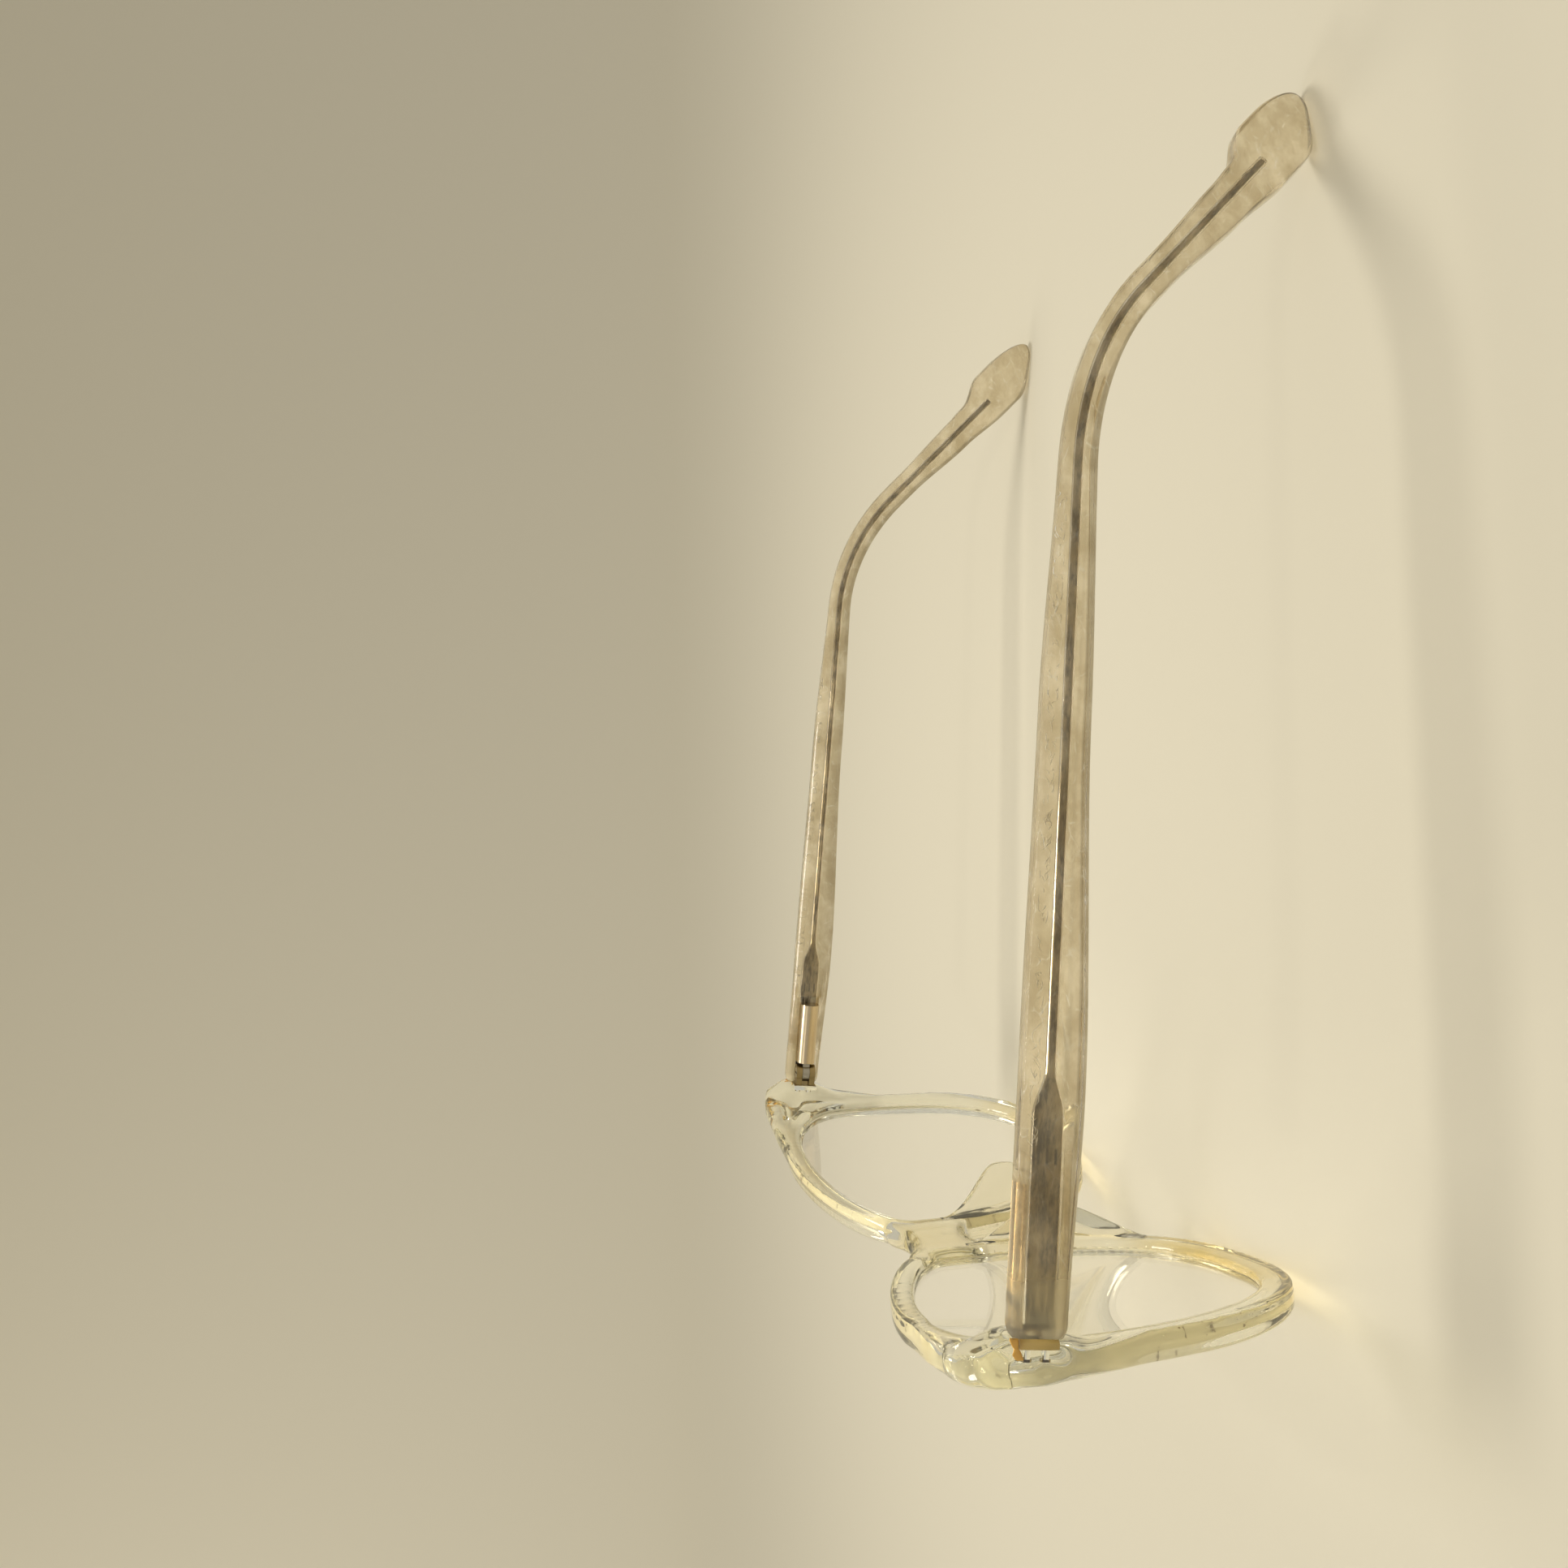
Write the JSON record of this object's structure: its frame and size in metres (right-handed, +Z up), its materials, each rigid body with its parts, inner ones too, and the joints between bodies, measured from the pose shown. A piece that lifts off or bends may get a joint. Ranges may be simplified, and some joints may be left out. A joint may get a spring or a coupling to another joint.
{
  "type": "eyeglasses",
  "caption": "Full-rim clear acetate eyeglasses with wire-core pearl temples, folding on sprung hinges with a sliding spring box.",
  "frame": {"origin": "on the surface that the glasses stand on, under the middle of their bounding box, temples open", "axes": "+X towards the wearer's left, +Y back along the temples to their tips, +Z up"},
  "size_m": [0.1374, 0.1437, 0.0463],
  "materials": {
    "crystal_acetate": "polished clear acetate with a pale champagne tint",
    "crystal_acetate_pad": "polished clear acetate",
    "clear_lens": "clear plastic demo lens",
    "pearl_acetate": "polished milky pearl acetate with fine streaks",
    "core_wire_metal": "drawn nickel silver, warm grey",
    "hinge_brass": "plain plated hinge leaf",
    "hinge_steel": "plain machined steel",
    "screw_steel": "turned stainless steel",
    "spring_steel": "bright spring wire",
    "box_metal": "plated nickel silver box"
  },
  "bodies": {
    "front": {"front": "crystal_acetate", "lens_left": "clear_lens", "lens_right": "clear_lens", "nose_pad_left": "crystal_acetate_pad", "nose_pad_right": "crystal_acetate_pad", "hinge_leaf_left": "hinge_brass", "hinge_leaf_right": "hinge_brass", "hinge_screw_left": "screw_steel", "hinge_screw_right": "screw_steel"},
    "slider_left": {"slider_left": "hinge_steel", "slider_nut_left": "hinge_steel", "return_spring_left": "spring_steel"},
    "temple_left": {"temple_left": "pearl_acetate", "core_wire_left": "core_wire_metal", "spring_box_left": "box_metal"},
    "slider_right": {"slider_right": "hinge_steel", "slider_nut_right": "hinge_steel", "return_spring_right": "spring_steel"},
    "temple_right": {"temple_right": "pearl_acetate", "core_wire_right": "core_wire_metal", "spring_box_right": "box_metal"}
  },
  "joints": [
    {"name": "fold_left", "type": "hinge", "parent": "front", "child": "slider_left", "pos_m": [0.06459, -0.0568, 0.03846], "axis": [0, 0.0792, 0.9969], "range_deg": [0, 83]},
    {"name": "spring_travel_left", "type": "slide", "parent": "slider_left", "child": "temple_left", "axis": [-0.0593, 0.9951, -0.0791], "range_m": [0, 0.0009], "stiffness_N_per_m": 3000, "springref_m": -0.0005, "deforming": ["return_spring_left"]},
    {"name": "fold_right", "type": "hinge", "parent": "front", "child": "slider_right", "pos_m": [-0.06459, -0.0568, 0.03846], "axis": [0, -0.0792, -0.9969], "range_deg": [0, 72]},
    {"name": "spring_travel_right", "type": "slide", "parent": "slider_right", "child": "temple_right", "axis": [0.0593, 0.9951, -0.0791], "range_m": [0, 0.0009], "stiffness_N_per_m": 3000, "springref_m": -0.0005, "deforming": ["return_spring_right"]}
  ]
}
